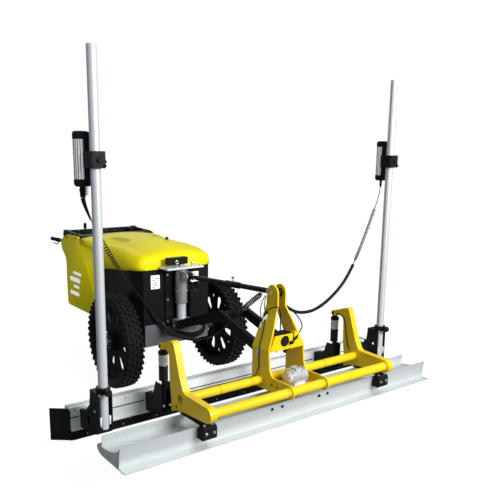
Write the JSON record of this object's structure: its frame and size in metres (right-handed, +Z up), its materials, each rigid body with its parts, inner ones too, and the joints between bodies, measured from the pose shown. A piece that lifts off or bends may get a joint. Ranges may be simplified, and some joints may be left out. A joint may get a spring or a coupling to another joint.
{
  "type": "power screed",
  "caption": "Walk-behind two-wheel laser screed: wide vibrating trowel plate and grader beam on a yellow frame, masts with laser receivers, lift linkage and swing post.",
  "frame": {"origin": "centre of the machine's box on the ground, cords left out", "axes": "+X to the right seen from in front of the head, +Y back from the head to the handlebar, +Z up"},
  "size_m": [2.6525, 3.3504, 2.35],
  "materials": {
    "yellow_paint": "semi-gloss yellow paint",
    "black_paint": "satin black paint",
    "iron": "painted cast iron",
    "rim_metal": "cast rim in satin black",
    "alloy": "brushed, lightly oxidised",
    "steel": "bright zinc or bare steel",
    "rubber": "matt black",
    "tyre": "dusty black",
    "plastic": "matt black",
    "engine": "grey cast casing",
    "receiver": "black caps with a clear window",
    "cable": "matt black sheath"
  },
  "bodies": {
    "tractor": {"chassis": "black_paint", "hood": "yellow_paint", "rear_cover": "yellow_paint", "power_unit": "engine", "counterweight": "iron", "axle": "steel", "console": "plastic", "handlebar": "black_paint", "nose_bracket": "steel", "swing_lock": "black_paint", "lift_block": "black_paint"},
    "swing": {"swing_post": "steel"},
    "arms": {"lower_arms": "black_paint", "tension_spring": "steel"},
    "link": {"top_link": "black_paint"},
    "frame": {"front_tube": "yellow_paint", "rear_tube": "yellow_paint", "end_plate_left": "yellow_paint", "end_plate_right": "yellow_paint", "pad_bar_left": "rubber", "pad_bar_right": "rubber", "tower_plate_left": "yellow_paint", "tower_plate_right": "yellow_paint", "cross_box": "yellow_paint", "pivot_plug": "rubber", "base_plate": "yellow_paint", "vibrator_motor": "alloy", "lower_pin": "steel", "top_pin": "steel", "actuator_left": "black_paint", "actuator_right": "black_paint", "cord_left": "cable", "cord_right": "cable"},
    "trowel": {"vib_plate": "alloy", "mount_left": "rubber", "mount_right": "rubber"},
    "rotor": {"vibrator_rotor": "steel"},
    "grader": {"scraper_beam": "alloy", "cutting_edge": "black_paint", "mast_bracket_left": "black_paint", "mast_bracket_right": "black_paint", "lift_rod_left": "black_paint", "lift_rod_right": "black_paint"},
    "stand": {"prop_stand": "steel"},
    "stick": {"joystick": "plastic"},
    "button": {"stop_button": "plastic"},
    "wing_left": {"wing_left": "black_paint"},
    "mast_left": {"mast_left": "alloy"},
    "knob_left": {"clamp_knob_left": "plastic"},
    "laser_left": {"receiver_left": "receiver", "receiver_clamp_left": "black_paint"},
    "wheel_left": {"tyre_left": "tyre", "rim_left": "rim_metal"},
    "wing_right": {"wing_right": "black_paint"},
    "mast_right": {"mast_right": "alloy"},
    "knob_right": {"clamp_knob_right": "plastic"},
    "laser_right": {"receiver_right": "receiver", "receiver_clamp_right": "black_paint"},
    "wheel_right": {"tyre_right": "tyre", "rim_right": "rim_metal"}
  },
  "joints": [
    {"name": "head_swing", "type": "hinge", "parent": "tractor", "child": "swing", "pos_m": [0.03975, -0.1452, 0.7], "axis": [0, 0, 1], "range_deg": [-12, 12]},
    {"name": "head_lift", "type": "hinge", "parent": "swing", "child": "arms", "pos_m": [0.03975, -0.2552, 0.509], "axis": [1, 0, 0], "range_deg": [-4, 10], "deforming": ["cord_left", "cord_right", "tension_spring"]},
    {"name": "link_follow", "type": "hinge", "parent": "swing", "child": "link", "pos_m": [0.03975, -0.2552, 0.884], "axis": [1, 0, 0], "range_deg": [-4.2, 10.2]},
    {"name": "frame_level", "type": "hinge", "parent": "arms", "child": "frame", "pos_m": [0.03975, -1.3152, 0.575], "axis": [1, 0, 0], "range_deg": [-10.2, 4.2]},
    {"name": "trowel_shake", "type": "slide", "parent": "frame", "child": "trowel", "axis": [0, 1, 0], "range_m": [-0.0015, 0.0015], "stiffness_N_per_m": 40000},
    {"name": "rotor_spin", "type": "hinge", "parent": "frame", "child": "rotor", "pos_m": [0.05075, -1.5052, 0.44], "axis": [1, 0, 0], "continuous": true},
    {"name": "grader_lift", "type": "slide", "parent": "frame", "child": "grader", "axis": [0, 0, 1], "range_m": [-0.03, 0.06], "deforming": ["cord_left", "cord_right"]},
    {"name": "wing_left_swing", "type": "hinge", "parent": "grader", "child": "wing_left", "pos_m": [-1.23675, -0.9512, 0.238], "axis": [0, 0, 1], "range_deg": [-50, 38]},
    {"name": "wing_right_swing", "type": "hinge", "parent": "grader", "child": "wing_right", "pos_m": [1.31625, -0.9512, 0.238], "axis": [0, 0, 1], "range_deg": [-90, 0]},
    {"name": "mast_left_slide", "type": "slide", "parent": "grader", "child": "mast_left", "axis": [0, 0, 1], "range_m": [0, 0.15], "deforming": ["cord_left"]},
    {"name": "knob_left_turn", "type": "hinge", "parent": "grader", "child": "knob_left", "pos_m": [-1.12225, -1.2218, 0.507], "axis": [0, -1, 0], "range_deg": [0, 270]},
    {"name": "receiver_left_slide", "type": "slide", "parent": "mast_left", "child": "laser_left", "axis": [0, 0, 1], "range_m": [-0.3, 0.35], "deforming": ["cord_left"]},
    {"name": "mast_right_slide", "type": "slide", "parent": "grader", "child": "mast_right", "axis": [0, 0, 1], "range_m": [0, 0.15], "deforming": ["cord_right"]},
    {"name": "knob_right_turn", "type": "hinge", "parent": "grader", "child": "knob_right", "pos_m": [1.20175, -1.2218, 0.507], "axis": [0, -1, 0], "range_deg": [0, 270]},
    {"name": "receiver_right_slide", "type": "slide", "parent": "mast_right", "child": "laser_right", "axis": [0, 0, 1], "range_m": [-0.3, 0.35], "deforming": ["cord_right"]},
    {"name": "wheel_left_spin", "type": "hinge", "parent": "tractor", "child": "wheel_left", "pos_m": [-0.44225, 0.0628, 0.3725], "axis": [1, 0, 0], "continuous": true},
    {"name": "wheel_right_spin", "type": "hinge", "parent": "tractor", "child": "wheel_right", "pos_m": [0.52175, 0.0628, 0.3725], "axis": [1, 0, 0], "continuous": true},
    {"name": "joystick_tilt", "type": "hinge", "parent": "tractor", "child": "stick", "pos_m": [-0.13025, 1.2848, 1.0452], "axis": [1, 0, 0], "range_deg": [-15, 15], "stiffness_Nm_per_rad": 0.6},
    {"name": "stop_button_press", "type": "slide", "parent": "tractor", "child": "button", "axis": [0, 0, -1], "range_m": [0, 0.004], "stiffness_N_per_m": 900},
    {"name": "stand_fold", "type": "hinge", "parent": "tractor", "child": "stand", "pos_m": [0.03975, 0.8248, 0.405], "axis": [1, 0, 0], "range_deg": [0, 80]}
  ],
  "couplings": [
    {"joint": "link_follow", "follows": "head_lift", "ratio": 1},
    {"joint": "frame_level", "follows": "head_lift", "ratio": -1}
  ]
}
